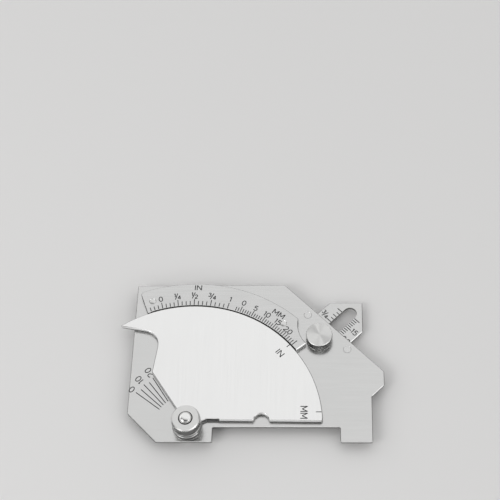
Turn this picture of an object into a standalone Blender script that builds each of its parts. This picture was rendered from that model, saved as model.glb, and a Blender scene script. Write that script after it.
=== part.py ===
# Cam type weld gauge: a flat stainless body with a measuring cam and a sliding throat pointer.
# The gauge lies on its back. X runs along the line of the two feet, Y from the feet to the
# top edge, Z out of the engraved face. The origin is on the pivot axis, at the rear face of
# the pivot screw's head, on which the gauge rests. Every length is in metres.

import math

import bmesh
import bpy
from mathutils import Matrix, Vector

MM = 0.001

# Fits and edges
SEAT_GAP = 0.2 * MM          # between faces that bear on each other
BORE_PLAY = 0.15 * MM        # between a shank and its hole, on the radius
RIVET_PLAY = 0.1 * MM        # between a rivet and its hole, on the radius
SLIDE_PLAY = 0.15 * MM       # between the pointer and its channel, on each side
ARC_GAP = 0.35 * MM          # between the cam's rim and the scale plate
EDGE_BREAK = 0.2 * MM        # chamfer along the rim of each plate

# Sheet and bar thicknesses
BODY_THICK = 1.25 * MM
CAM_THICK = 1.9 * MM
POINTER_THICK = 1.25 * MM
BRIDGE_WEB = 1.5 * MM

# Body plate, measured from the pivot
BODY_LEFT = 24.1 * MM        # pivot to the left edge
BRIDGE_EDGE = 0.1 * MM       # the edge between the feet lies this far below the pivot
FOOT_DROP = 6.3 * MM         # the feet reach this far below that edge
FOOT_INSIDE = 9.75 * MM      # pivot to the inner side of the left foot
GAP_WIDTH = 49.4 * MM        # clear width between the feet
FOOT_WIDTH = 12.4 * MM       # right foot
LEFT_CHAMFER = 11.9 * MM     # 45 degree corner under the left edge
EAR_OUT = 5.0 * MM           # how far the ear stands out past the right foot
EAR_SIDE = 5.8 * MM          # the ear's upright side, below the slanted edge
TOP_MARGIN = 0.4 * MM        # top edge above the scale plate's crest
SLANT_MARGIN = 7.9 * MM      # slanted edge beyond the scale plate, along 45 degrees
CORNER_ROUND = 0.6 * MM

# Cam
CAM_RADIUS = 52.5 * MM
CAM_REST_TURN = -0.6         # degrees, as the gauge was left
TIP_ANGLE = 124.8            # polar angles from the pivot in degrees, in the cam's own frame
BEVEL_ANGLE = 124.6          # straight edge that reads the preparation angle
TIP_ROUND = 0.15 * MM
THROAT_ANGLE = 108.4         # where the beak's underside would meet the throat's edge
THROAT_DEPTH = 10.2 * MM     # that corner's depth inside the rim
THROAT_ROUND = 6.9 * MM
HEEL_DISTANCE = 27.2 * MM    # pivot to the corner between throat and straight edge
HEEL_ROUND = 1.0 * MM
HUB_RADIUS = 5.8 * MM
HUB_FILLET = 1.7 * MM
CAM_BASE = 2.1 * MM          # lower edge above the pivot's centre line
BASE_STEP = 0.4 * MM         # that edge's step beside the hub
STEP_PLACE = 12.0 * MM
NOTCH_PLACE = 28.7 * MM
NOTCH_RADIUS = 2.95 * MM
NOTCH_LIP = 0.5 * MM
BASE_ROUND = 1.2 * MM

# Arc scale plate
ARC_WIDTH = 10.15 * MM
ARC_LEFT_ANGLE = 111.0
ARC_RIGHT_ANGLE = 37.6
ARC_ROUND = 1.5 * MM
RELIEF_RADIUS = 12.6 * MM    # hollow that clears the clamp screw's head
RELIEF_ALONG = 6.8 * MM      # hollow's centre from the clamp screw, along the pointer
RELIEF_ACROSS = -1.2 * MM    # and across it, towards the scale
RELIEF_ROUND = 1.0 * MM
SCALE_RIVET_ANGLES = (107.4, 50.4)
SCALE_RIVET_INSET = 4.6 * MM   # from the plate's inner edge
SCALE_RIVET_RADIUS = 0.85 * MM
SCALE_RIVET_HEAD = 0.45 * MM   # how far the sunk head spreads past the shank
SCALE_RIVET_CROWN = 0.12 * MM

# Pivot screw, washers and thumb nut
PIVOT_RADIUS = 2.5 * MM
PIVOT_HEAD_RADIUS = 5.0 * MM
PIVOT_DOME = 1.4 * MM        # height of the domed end above the nut
WASHER_RADIUS = 5.25 * MM
WASHER_THICK = 0.4 * MM
SPRING_RADIUS = 4.7 * MM
SPRING_THICK = 0.5 * MM
SPRING_SPLIT = 12.0          # degrees left open in the spring washer
NUT_RADIUS = 5.7 * MM
NUT_HEIGHT = 4.5 * MM
NUT_SINK = 0.45 * MM         # countersink round the thread

# Knurling
KNURL_TEETH = 40
KNURL_DEPTH = 0.17 * MM
KNURL_ROW = 0.71 * MM        # half the height of a diamond
RIM_CHAMFER = 0.4 * MM

# Throat pointer
POINTER_OFFSET = 9.15 * MM   # its centre line passes the pivot at this distance
POINTER_WIDTH = 18.7 * MM
POINTER_OUT = 16.9 * MM      # point beyond the body's slanted edge, at rest
SLOT_WIDTH = 5.6 * MM
SLOT_TIP = 7.15 * MM         # point to the centre of the slot's round end
SLOT_LENGTH = 35.3 * MM      # between the centres of its round ends
POINTER_TAIL = 5.8 * MM      # centre of the slot's inner end to the tail
TAIL_CHAMFER = 1.3 * MM

# Clamp screw
CLAMP_BACK = 7.8 * MM        # its axis behind the slanted edge
CLAMP_RADIUS = 5.4 * MM
CLAMP_HEIGHT = 3.85 * MM
CLAMP_SHANK = 2.0 * MM
CLAMP_DIMPLE = 0.45 * MM

# Guide bridge behind the pointer
BRIDGE_BACK = 0.6 * MM       # its front side behind the slanted edge
BRIDGE_LENGTH = 10.3 * MM    # along the pointer
BRIDGE_FOOT = 3.25 * MM      # width of the foot on each side of the channel
GUIDE_RIVET_BACK = 3.25 * MM  # rivets behind the slanted edge
GUIDE_RIVET_RADIUS = 0.85 * MM
GUIDE_RIVET_HEAD = 0.65 * MM

# Facets, in degrees of arc
RIM_STEP = 2.5
HOLE_STEP = 15.0
CORNER_STEP = 30.0
HUB_STEP = 12.0
RELIEF_STEP = 6.0

# Levels, from the rear face up
BRIDGE_CHANNEL = BRIDGE_WEB
POINTER_LOW = BRIDGE_CHANNEL + SLIDE_PLAY
POINTER_HIGH = POINTER_LOW + POINTER_THICK
BODY_LOW = POINTER_HIGH + SEAT_GAP
BODY_HIGH = BODY_LOW + BODY_THICK
BRIDGE_HIGH = BODY_LOW - SEAT_GAP
CAM_LOW = BODY_HIGH + SEAT_GAP
CAM_HIGH = CAM_LOW + CAM_THICK
WASHER_LOW = CAM_HIGH + SEAT_GAP
WASHER_HIGH = WASHER_LOW + WASHER_THICK
SPRING_LOW = WASHER_HIGH + SEAT_GAP
SPRING_HIGH = SPRING_LOW + SPRING_THICK
NUT_LOW = SPRING_HIGH + SEAT_GAP
NUT_HIGH = NUT_LOW + NUT_HEIGHT
CLAMP_LOW = BODY_HIGH + SEAT_GAP
CLAMP_HIGH = CLAMP_LOW + CLAMP_HEIGHT

# Distances along the pointer's direction, and where its parts lie
ARC_INNER = CAM_RADIUS + ARC_GAP
ARC_OUTER = ARC_INNER + ARC_WIDTH
SLANT = ARC_OUTER + SLANT_MARGIN
POINTER_TIP = SLANT + POINTER_OUT
CLAMP_ALONG = SLANT - CLAMP_BACK
GUIDE_CENTRE = POINTER_WIDTH / 2 + SLIDE_PLAY + BRIDGE_FOOT / 2


def on_pointer(along, across=0.0):
    """A point in the gauge's plane, from distances along and across the pointer's centre line."""
    half = math.sqrt(0.5)
    side = POINTER_OFFSET + across
    return Vector(((along + side) * half, (along - side) * half))


def polar(radius, degrees):
    angle = math.radians(degrees)
    return Vector((radius * math.cos(angle), radius * math.sin(angle)))


def arc(centre, radius, start, end, step):
    """Points along an arc, both ends included, about one for each step in degrees."""
    count = max(2, round(abs(end - start) / step))
    return [Vector(centre) + polar(radius, start + (end - start) * i / count) for i in range(count + 1)]


def rounded(corners, step=HOLE_STEP):
    """A closed outline from corners given as (point, radius), with each corner made an arc."""
    outline = []
    for i, (here, radius) in enumerate(corners):
        if radius == 0.0:
            outline.append(Vector(here))
            continue
        before = (Vector(corners[i - 1][0]) - Vector(here)).normalized()
        after = (Vector(corners[(i + 1) % len(corners)][0]) - Vector(here)).normalized()
        half_angle = math.acos(max(-1.0, min(1.0, before.dot(after)))) / 2
        centre = Vector(here) + (before + after).normalized() * radius / math.sin(half_angle)
        first = Vector(here) + before * radius / math.tan(half_angle) - centre
        last = Vector(here) + after * radius / math.tan(half_angle) - centre
        turn = math.atan2(first.x * last.y - first.y * last.x, first.dot(last))
        count = max(2, round(abs(math.degrees(turn)) / step))
        for k in range(count + 1):
            angle = turn * k / count
            spoke = Vector((first.x * math.cos(angle) - first.y * math.sin(angle),
                            first.x * math.sin(angle) + first.y * math.cos(angle)))
            outline.append(centre + spoke)
    return outline


def offset(outline, distance):
    """The outline moved outwards by a distance, for one that runs anticlockwise."""
    moved = []
    for i, here in enumerate(outline):
        to = (here - outline[i - 1]).normalized()
        on = (outline[(i + 1) % len(outline)] - here).normalized()
        normal = Vector((to.y + on.y, -to.x - on.x)).normalized()
        stretch = max(0.3, normal.dot(Vector((to.y, -to.x))))
        moved.append(here + normal * distance / stretch)
    return moved


def new_object(name, bm, material, location=(0.0, 0.0, 0.0), turn=0.0):
    bmesh.ops.recalc_face_normals(bm, faces=bm.faces)
    mesh = bpy.data.meshes.new(name)
    bm.to_mesh(mesh)
    bm.free()
    mesh.materials.append(material)
    mesh.shade_smooth()
    mesh.set_sharp_from_angle(angle=math.radians(30))
    made = bpy.data.objects.new(name, mesh)
    made.location = location
    made.rotation_euler = (0.0, 0.0, turn)
    bpy.context.scene.collection.objects.link(made)
    return made


def wall(bm, outline, levels):
    """Rings of one outline at each (height, outward offset), joined by quads. Returns end edges."""
    rings = []
    for height, grow in levels:
        shape = offset(outline, grow) if grow else outline
        rings.append([bm.verts.new((p.x, p.y, height)) for p in shape])
    for low, high in zip(rings, rings[1:]):
        for i in range(len(low)):
            k = (i + 1) % len(low)
            bm.faces.new((low[i], low[k], high[k], high[i]))
    ends = []
    for ring in (rings[0], rings[-1]):
        ends.append([bm.edges.get((ring[i], ring[(i + 1) % len(ring)])) for i in range(len(ring))])
    return ends


def plate(name, outline, low, high, material, holes=(), origin=(0.0, 0.0), turn=0.0):
    """A flat piece with chamfered rims. A hole is (outline, flare at the rear, flare in front)."""
    bm = bmesh.new()
    rim = EDGE_BREAK
    bottom, top = wall(bm, outline, [(low, -rim), (low + rim, 0.0), (high - rim, 0.0), (high, -rim)])
    for shape, rear, front in holes:
        levels = [(low, rear), (low + rear, 0.0)] if rear else [(low, 0.0)]
        levels += [(high - front, 0.0), (high, front)] if front else [(high, 0.0)]
        hole_bottom, hole_top = wall(bm, shape, levels)
        bottom += hole_bottom
        top += hole_top
    bmesh.ops.triangle_fill(bm, use_beauty=True, edges=bottom, normal=(0, 0, -1))
    bmesh.ops.triangle_fill(bm, use_beauty=True, edges=top, normal=(0, 0, 1))
    bmesh.ops.translate(bm, verts=bm.verts, vec=(-origin[0], -origin[1], 0.0))
    return new_object(name, bm, material, (origin[0], origin[1], 0.0), turn)


def circle(centre, radius, count=24):
    step = 360.0 / count
    return arc(centre, radius, 0.0, 360.0 - step, step)


def turned(name, profile, material, centre=(0.0, 0.0), count=32, closed=False):
    """A turned piece. Each point is (radius, height, knurl), knurl being None, 0 or 1 for the
    row's stagger. The profile runs from the axis to the axis, or round a ring when closed."""
    bm = bmesh.new()
    rings = []
    for radius, height, knurl in profile:
        if radius == 0.0:
            rings.append([bm.verts.new((0.0, 0.0, height))] * count)
            continue
        ring = []
        for i in range(count):
            cut = KNURL_DEPTH * ((i + knurl) % 2) if knurl is not None else 0.0
            spot = polar(radius - cut, 360.0 * i / count)
            ring.append(bm.verts.new((spot.x, spot.y, height)))
        rings.append(ring)
    pairs = list(zip(rings, rings[1:])) + ([(rings[-1], rings[0])] if closed else [])
    staggers = [point[2] for point in profile] + [profile[0][2]]
    for row, (low, high) in enumerate(pairs):
        for i in range(count):
            k = (i + 1) % count
            quad = [low[i], low[k], high[k], high[i]]
            if staggers[row] is not None and staggers[row + 1] is not None:
                # Splitting along the two low corners leaves a pyramid at each high one
                if (i + staggers[row]) % 2:
                    bm.faces.new((quad[0], quad[1], quad[2]))
                    bm.faces.new((quad[0], quad[2], quad[3]))
                else:
                    bm.faces.new((quad[0], quad[1], quad[3]))
                    bm.faces.new((quad[1], quad[2], quad[3]))
                continue
            corners = [v for n, v in enumerate(quad) if v not in quad[:n]]
            bm.faces.new(corners)
    return new_object(name, bm, material, (centre[0], centre[1], 0.0))


def plain(points):
    return [(radius, height, None) for radius, height in points]


def knurled_band(radius, low, high):
    """Rows of staggered points between two plain rings at the full radius less the knurl."""
    rows = max(2, round((high - low) / KNURL_ROW))
    band = [(radius - KNURL_DEPTH, low, None)]
    for row in range(rows + 1):
        band.append((radius, low + (high - low) * (row + 0.25) / (rows + 0.5), row % 2))
    band.append((radius - KNURL_DEPTH, high, None))
    return band


def metal(name, colour, roughness):
    made = bpy.data.materials.new(name)
    made.use_nodes = True
    shader = made.node_tree.nodes["Principled BSDF"]
    shader.inputs["Base Color"].default_value = (*colour, 1.0)
    shader.inputs["Metallic"].default_value = 1.0
    shader.inputs["Roughness"].default_value = roughness
    return made


def make_body_plate():
    """One flat sheet: two feet with the gap between them, an ear, and a 45 degree top corner."""
    feet = -BRIDGE_EDGE - FOOT_DROP
    gap_right = FOOT_INSIDE + GAP_WIDTH
    foot_right = gap_right + FOOT_WIDTH
    ear_right = foot_right + EAR_OUT
    top = ARC_OUTER + TOP_MARGIN
    slant_sum = SLANT * math.sqrt(2.0)
    ear_low = slant_sum - ear_right - EAR_SIDE - EAR_OUT
    corners = [
        (-BODY_LEFT + LEFT_CHAMFER, feet), (FOOT_INSIDE, feet), (FOOT_INSIDE, -BRIDGE_EDGE),
        (gap_right, -BRIDGE_EDGE), (gap_right, feet), (foot_right, feet), (foot_right, ear_low),
        (ear_right, ear_low + EAR_OUT), (ear_right, slant_sum - ear_right), (slant_sum - top, top),
        (-BODY_LEFT, top), (-BODY_LEFT, feet + LEFT_CHAMFER),
    ]
    outline = rounded([(Vector(c), CORNER_ROUND) for c in corners], CORNER_STEP)
    holes = [
        (circle((0.0, 0.0), PIVOT_RADIUS + BORE_PLAY), 0.0, 0.0),
        (circle(on_pointer(CLAMP_ALONG), CLAMP_SHANK + BORE_PLAY), 0.0, 0.0),
    ]
    for angle in SCALE_RIVET_ANGLES:
        place = polar(ARC_INNER + SCALE_RIVET_INSET, angle)
        holes.append((circle(place, SCALE_RIVET_RADIUS + RIVET_PLAY, 16), SCALE_RIVET_HEAD, 0.0))
    for side in (-1, 1):
        place = on_pointer(SLANT - GUIDE_RIVET_BACK, side * GUIDE_CENTRE)
        holes.append((circle(place, GUIDE_RIVET_RADIUS + RIVET_PLAY, 16), 0.0, GUIDE_RIVET_HEAD))
    plate("body_plate", outline, BODY_LOW, BODY_HIGH, metal("body steel", (0.56, 0.56, 0.55), 0.38), holes)


def make_arc_scale_plate():
    """The raised scale that surrounds the cam's rim, hollowed to clear the clamp screw."""
    relief = on_pointer(CLAMP_ALONG + RELIEF_ALONG, RELIEF_ACROSS)
    outer = [p for p in arc((0, 0), ARC_OUTER, ARC_RIGHT_ANGLE, ARC_LEFT_ANGLE, RIM_STEP)
             if (p - relief).length > RELIEF_RADIUS and p.angle_signed(relief) >= 0.0]
    end_inner = polar(ARC_INNER, ARC_RIGHT_ANGLE)
    end_direction = polar(1.0, ARC_RIGHT_ANGLE)
    to_relief = end_inner - relief
    half_b = to_relief.dot(end_direction)
    reach = -half_b - math.sqrt(half_b ** 2 - to_relief.length_squared + RELIEF_RADIUS ** 2)
    end_outer = end_inner + end_direction * reach
    start = math.degrees(math.atan2(end_outer.y - relief.y, end_outer.x - relief.x)) % 360.0
    # The hollow's arc leaves the plate where it crosses the outer edge
    spread = relief.length
    cross = math.acos((spread ** 2 + ARC_OUTER ** 2 - RELIEF_RADIUS ** 2) / (2 * spread * ARC_OUTER))
    meet = polar(ARC_OUTER, math.degrees(math.atan2(relief.y, relief.x) + cross))
    stop = math.degrees(math.atan2(meet.y - relief.y, meet.x - relief.x)) % 360.0
    hollow = arc(relief, RELIEF_RADIUS, start, stop, RELIEF_STEP)
    corners = [(p, 0.0) for p in hollow]
    corners[-1] = (meet, RELIEF_ROUND)
    corners += [(p, 0.0) for p in outer if (p - meet).length > RELIEF_ROUND]
    corners[-1] = (corners[-1][0], ARC_ROUND)
    inner = arc((0, 0), ARC_INNER, ARC_LEFT_ANGLE, ARC_RIGHT_ANGLE, RIM_STEP)
    outline = rounded(corners + [(p, 0.0) for p in inner])
    holes = []
    for angle in SCALE_RIVET_ANGLES:
        place = polar(ARC_INNER + SCALE_RIVET_INSET, angle)
        holes.append((circle(place, SCALE_RIVET_RADIUS + RIVET_PLAY, 16), 0.0, SCALE_RIVET_HEAD))
    plate("arc_scale_plate", outline, CAM_LOW, CAM_HIGH, metal("scale steel", (0.58, 0.58, 0.57), 0.36), holes)


def make_cam_plate():
    """The cam: a pointed beak on the rim, a straight edge for angles, and a round hub."""
    beak = polar(CAM_RADIUS, TIP_ANGLE)
    throat = polar(CAM_RADIUS - THROAT_DEPTH, THROAT_ANGLE)
    heel = polar(HEEL_DISTANCE, BEVEL_ANGLE)
    rim_start = math.degrees(math.asin(CAM_BASE / CAM_RADIUS))
    step_top = CAM_BASE + BASE_STEP
    corners = [(p, 0.0) for p in arc((0, 0), CAM_RADIUS, rim_start, TIP_ANGLE, RIM_STEP)]
    corners[0] = (corners[0][0], BASE_ROUND)
    corners[-1] = (beak, TIP_ROUND)
    corners += [(throat, THROAT_ROUND), (heel, HEEL_ROUND)]
    hub_low = -math.degrees(math.acos(HUB_RADIUS / (HUB_RADIUS + HUB_FILLET)))
    corners += [(p, 0.0) for p in arc((0, 0), HUB_RADIUS, BEVEL_ANGLE, 360.0 + hub_low, HUB_STEP)]
    hub_join = Vector((HUB_RADIUS, step_top - HUB_FILLET / 2))
    corners += [(hub_join, 0.0), (Vector((HUB_RADIUS + HUB_FILLET, step_top)), 0.0)]
    corners += [(Vector((STEP_PLACE, step_top)), 0.0), (Vector((STEP_PLACE + BASE_STEP, CAM_BASE)), 0.0)]
    notch = (NOTCH_PLACE, CAM_BASE)
    corners.append((Vector((NOTCH_PLACE - NOTCH_RADIUS - NOTCH_LIP, CAM_BASE)), 0.0))
    notch_rise = math.degrees(math.asin(NOTCH_LIP / NOTCH_RADIUS))
    corners += [(p, 0.0) for p in arc(notch, NOTCH_RADIUS, 180.0 - notch_rise, notch_rise, HOLE_STEP)]
    corners.append((Vector((NOTCH_PLACE + NOTCH_RADIUS + NOTCH_LIP, CAM_BASE)), 0.0))
    bore = [(circle((0.0, 0.0), PIVOT_RADIUS + BORE_PLAY), 0.0, 0.0)]
    plate("cam_plate", rounded(corners), CAM_LOW, CAM_HIGH, metal("cam steel", (0.68, 0.68, 0.67), 0.3),
          bore, turn=math.radians(CAM_REST_TURN))


def make_pivot():
    """A headed screw from the rear, a plain and a split spring washer, and the thumb nut."""
    bright = metal("pivot steel", (0.72, 0.72, 0.71), 0.18)
    shoulder = BODY_LOW - SEAT_GAP
    break_ = EDGE_BREAK
    dome = []
    for i in range(1, 6):
        tilt = math.radians(18.0 * i)
        dome.append((PIVOT_RADIUS * math.cos(tilt), NUT_HIGH + PIVOT_DOME * math.sin(tilt)))
    dome[-1] = (0.0, NUT_HIGH + PIVOT_DOME)
    turned("pivot_screw", plain([
        (0.0, 0.0), (PIVOT_HEAD_RADIUS - break_, 0.0), (PIVOT_HEAD_RADIUS, break_),
        (PIVOT_HEAD_RADIUS, shoulder - break_), (PIVOT_HEAD_RADIUS - break_, shoulder),
        (PIVOT_RADIUS, shoulder), (PIVOT_RADIUS, NUT_HIGH)] + dome), bright)

    bore = PIVOT_RADIUS + BORE_PLAY
    turned("plain_washer", plain([
        (bore, WASHER_LOW), (WASHER_RADIUS, WASHER_LOW), (WASHER_RADIUS, WASHER_HIGH), (bore, WASHER_HIGH)]),
        metal("washer steel", (0.6, 0.6, 0.59), 0.3), closed=True)

    open_half = SPRING_SPLIT / 2
    outline = arc((0, 0), SPRING_RADIUS, open_half, 360.0 - open_half, HUB_STEP)
    outline += arc((0, 0), bore, 360.0 - open_half, open_half, HUB_STEP)
    bm = bmesh.new()
    bottom, top = wall(bm, outline, [(SPRING_LOW, 0.0), (SPRING_HIGH, 0.0)])
    bmesh.ops.triangle_fill(bm, use_beauty=True, edges=bottom, normal=(0, 0, -1))
    bmesh.ops.triangle_fill(bm, use_beauty=True, edges=top, normal=(0, 0, 1))
    new_object("spring_washer", bm, metal("spring steel", (0.5, 0.5, 0.5), 0.35))

    root = NUT_RADIUS - KNURL_DEPTH
    low_band = NUT_LOW + RIM_CHAMFER
    high_band = NUT_HIGH - RIM_CHAMFER
    profile = plain([(bore, NUT_LOW), (root - RIM_CHAMFER, NUT_LOW)])
    profile += knurled_band(NUT_RADIUS, low_band, high_band)
    profile += plain([(root - RIM_CHAMFER, NUT_HIGH), (bore + NUT_SINK, NUT_HIGH), (bore, NUT_HIGH - NUT_SINK)])
    turned("thumb_nut", profile, metal("nut steel", (0.62, 0.62, 0.61), 0.3), count=2 * KNURL_TEETH, closed=True)


def make_throat_pointer():
    """A slotted bar whose end is a right-angled point with edges along X and Y."""
    half = POINTER_WIDTH / 2
    shoulder = POINTER_TIP - half
    slot_out = POINTER_TIP - SLOT_TIP
    slot_in = slot_out - SLOT_LENGTH
    tail = slot_in - POINTER_TAIL
    corners = [
        (on_pointer(POINTER_TIP), 0.4 * MM), (on_pointer(shoulder, -half), CORNER_ROUND),
        (on_pointer(tail + TAIL_CHAMFER, -half), 0.0), (on_pointer(tail, -half + TAIL_CHAMFER), 0.0),
        (on_pointer(tail, half - TAIL_CHAMFER), 0.0), (on_pointer(tail + TAIL_CHAMFER, half), 0.0),
        (on_pointer(shoulder, half), CORNER_ROUND),
    ]
    slot = arc(on_pointer(slot_out), SLOT_WIDTH / 2, -45.0, 135.0, HOLE_STEP)
    slot += arc(on_pointer(slot_in), SLOT_WIDTH / 2, 135.0, 315.0, HOLE_STEP)
    plate("throat_pointer", rounded(corners, CORNER_STEP), POINTER_LOW, POINTER_HIGH,
          metal("pointer steel", (0.58, 0.58, 0.57), 0.36), [(slot, 0.0, 0.0)], on_pointer(CLAMP_ALONG))


def make_guide_bridge():
    """A milled block behind the pointer: a channel for it, and two feet riveted to the body."""
    half = POINTER_WIDTH / 2 + SLIDE_PLAY + BRIDGE_FOOT
    channel = POINTER_WIDTH / 2 + SLIDE_PLAY
    front = SLANT - BRIDGE_BACK
    rear = front - BRIDGE_LENGTH
    section = [(-half, 0.0), (half, 0.0), (half, BRIDGE_HIGH), (channel, BRIDGE_HIGH),
               (channel, BRIDGE_CHANNEL), (-channel, BRIDGE_CHANNEL), (-channel, BRIDGE_HIGH),
               (-half, BRIDGE_HIGH)]
    bm = bmesh.new()
    ends = []
    for along in (rear, front):
        ring = []
        for across, height in section:
            spot = on_pointer(along, across)
            ring.append(bm.verts.new((spot.x, spot.y, height)))
        ends.append(ring)
    for i in range(len(section)):
        k = (i + 1) % len(section)
        bm.faces.new((ends[0][i], ends[0][k], ends[1][k], ends[1][i]))
    bm.faces.new(ends[0])
    bm.faces.new(ends[1])
    bridge = new_object("guide_bridge", bm, metal("bridge steel", (0.5, 0.5, 0.5), 0.42))
    tap = CLAMP_SHANK + BORE_PLAY
    cuts = [("clamp_thread_cutter", on_pointer(CLAMP_ALONG), [(tap, -MM), (tap, BRIDGE_HIGH + MM)])]
    hole = GUIDE_RIVET_RADIUS + RIVET_PLAY
    sunk = hole + GUIDE_RIVET_HEAD
    for name, side in (("upper_rivet_cutter", -1), ("lower_rivet_cutter", 1)):
        place = on_pointer(SLANT - GUIDE_RIVET_BACK, side * GUIDE_CENTRE)
        profile = [(sunk, -MM), (sunk, 0.0), (hole, GUIDE_RIVET_HEAD), (hole, BRIDGE_HIGH + MM)]
        cuts.append((name, place, profile))
    for name, place, profile in cuts:
        points = [(0.0, profile[0][1])] + profile + [(0.0, profile[-1][1])]
        cutter = turned(name, plain(points), bridge.data.materials[0], place, 24)
        cutter.hide_render = True
        cutter.display_type = "WIRE"
        cut = bridge.modifiers.new(name, "BOOLEAN")
        cut.operation = "DIFFERENCE"
        cut.solver = "EXACT"
        cut.object = cutter


def make_rivets():
    """Sunk rivets, flush at both ends: two hold the bridge and two hold the scale plate."""
    steel = metal("rivet steel", (0.6, 0.6, 0.59), 0.3)
    for name, side in (("guide_rivet_upper", -1), ("guide_rivet_lower", 1)):
        place = on_pointer(SLANT - GUIDE_RIVET_BACK, side * GUIDE_CENTRE)
        head = GUIDE_RIVET_RADIUS + GUIDE_RIVET_HEAD
        rear = SEAT_GAP / 2
        turned(name, plain([
            (0.0, rear), (head, rear), (GUIDE_RIVET_RADIUS, rear + GUIDE_RIVET_HEAD),
            (GUIDE_RIVET_RADIUS, BODY_HIGH - GUIDE_RIVET_HEAD), (head, BODY_HIGH), (0.0, BODY_HIGH)]),
            steel, place, 20)
    for name, angle in zip(("scale_rivet_left", "scale_rivet_right"), SCALE_RIVET_ANGLES):
        place = polar(ARC_INNER + SCALE_RIVET_INSET, angle)
        head = SCALE_RIVET_RADIUS + SCALE_RIVET_HEAD
        turned(name, plain([
            (0.0, BODY_LOW), (head, BODY_LOW), (SCALE_RIVET_RADIUS, BODY_LOW + SCALE_RIVET_HEAD),
            (SCALE_RIVET_RADIUS, CAM_HIGH - SCALE_RIVET_HEAD), (head, CAM_HIGH),
            (head / 2, CAM_HIGH + 0.75 * SCALE_RIVET_CROWN), (0.0, CAM_HIGH + SCALE_RIVET_CROWN)]),
            steel, place, 20)


def make_clamp_screw():
    """A knurled screw that passes the body and the pointer's slot and threads into the bridge."""
    root = CLAMP_RADIUS - KNURL_DEPTH
    end = SEAT_GAP
    profile = plain([(0.0, end), (CLAMP_SHANK - EDGE_BREAK, end), (CLAMP_SHANK, end + EDGE_BREAK),
                     (CLAMP_SHANK, CLAMP_LOW), (root - RIM_CHAMFER, CLAMP_LOW)])
    profile += knurled_band(CLAMP_RADIUS, CLAMP_LOW + RIM_CHAMFER, CLAMP_HIGH - RIM_CHAMFER)
    profile += plain([(root - RIM_CHAMFER, CLAMP_HIGH), (CLAMP_DIMPLE, CLAMP_HIGH),
                      (0.0, CLAMP_HIGH - CLAMP_DIMPLE / 2)])
    turned("clamp_screw", profile, metal("clamp steel", (0.66, 0.66, 0.65), 0.25),
           on_pointer(CLAMP_ALONG), 2 * KNURL_TEETH)


for old in list(bpy.data.objects):
    bpy.data.objects.remove(old, do_unlink=True)

make_body_plate()
make_arc_scale_plate()
make_cam_plate()
make_pivot()
make_throat_pointer()
make_guide_bridge()
make_rivets()
make_clamp_screw()
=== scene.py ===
import math

import bmesh
import bpy
from mathutils import Matrix, Vector


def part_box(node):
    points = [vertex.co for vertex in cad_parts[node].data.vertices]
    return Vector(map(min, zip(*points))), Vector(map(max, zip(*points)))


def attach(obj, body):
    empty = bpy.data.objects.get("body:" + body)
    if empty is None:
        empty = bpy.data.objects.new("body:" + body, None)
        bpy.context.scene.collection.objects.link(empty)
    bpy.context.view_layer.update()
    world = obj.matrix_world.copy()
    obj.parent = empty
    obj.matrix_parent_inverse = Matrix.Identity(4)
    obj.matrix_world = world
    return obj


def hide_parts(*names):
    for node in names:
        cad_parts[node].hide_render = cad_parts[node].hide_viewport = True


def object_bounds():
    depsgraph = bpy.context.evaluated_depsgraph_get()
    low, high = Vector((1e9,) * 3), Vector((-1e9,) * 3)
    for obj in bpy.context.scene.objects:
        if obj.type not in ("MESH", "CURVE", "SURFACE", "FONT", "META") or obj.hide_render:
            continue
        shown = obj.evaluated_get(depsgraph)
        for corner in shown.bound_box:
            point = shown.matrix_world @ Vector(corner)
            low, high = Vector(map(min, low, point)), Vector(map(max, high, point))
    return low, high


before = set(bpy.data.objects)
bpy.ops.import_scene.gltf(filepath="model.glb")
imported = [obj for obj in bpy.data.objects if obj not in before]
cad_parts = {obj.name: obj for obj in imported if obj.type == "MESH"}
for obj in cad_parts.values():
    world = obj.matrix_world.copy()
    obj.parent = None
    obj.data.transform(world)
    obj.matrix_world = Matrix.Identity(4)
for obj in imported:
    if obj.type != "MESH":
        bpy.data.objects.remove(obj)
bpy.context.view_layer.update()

MM = 0.001


# The room
# A wide matt floor of warm white under the resting gauge and a soft pale sky: bright at the back,
# dim in front but for a low bright band, which shows in the edges. A soft lamp stands at the left.

scene = bpy.context.scene
scene.view_settings.view_transform = "Standard"

CAMERA_PLACE = Vector((58.26, -198.51, 448.87)) * MM
CAMERA_TURN = (32.164, 3.61, 1.696)
CAMERA_LENS = 90.0

camera = bpy.data.objects.new("camera", bpy.data.cameras.new("camera"))
camera.data.lens = CAMERA_LENS
camera.data.sensor_width = 36.0
camera.data.clip_start = 0.01
camera.location = CAMERA_PLACE
camera.rotation_euler = [math.radians(a) for a in CAMERA_TURN]
scene.collection.objects.link(camera)
scene.camera = camera

SKY_BACK = 1.02
SKY_FRONT = 0.10
SKY_LOW = 0.16
SKY_BAND = 1.4
SKY_SEEN = 0.86
SKY_TURN = 25.0
WHITE = (1.0, 1.0, 1.0, 1.0)

# Where the sky changes, as parts of a direction: to the back, upwards, and to either side
TO_BACK = (-0.45, 0.25)
UP_FROM_FLOOR = (0.05, 0.32)
BAND_TOP = (0.42, 0.62)
BAND_FOOT = (0.24, 0.32)
BAND_TO_BACK = (-0.15, 0.35)
GAP_TOP = (0.36, 0.43)
GAP_SIDE = (0.30, 0.42)


def add(tree, kind, settings=None, **inputs):
    """A node with its settings and inputs; an input is a value or another node's socket."""
    made = tree.nodes.new(kind)
    for key, value in (settings or {}).items():
        setattr(made, key, value)
    for key, value in inputs.items():
        label = key.replace("_", " ")
        fill(tree, next(s for s in made.inputs if s.enabled and s.name == label), value)
    return made


def fill(tree, socket, value):
    """Gives a socket a value, or a link from another node's socket."""
    if isinstance(value, bpy.types.NodeSocket):
        tree.links.new(value, socket)
    else:
        socket.default_value = value


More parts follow.
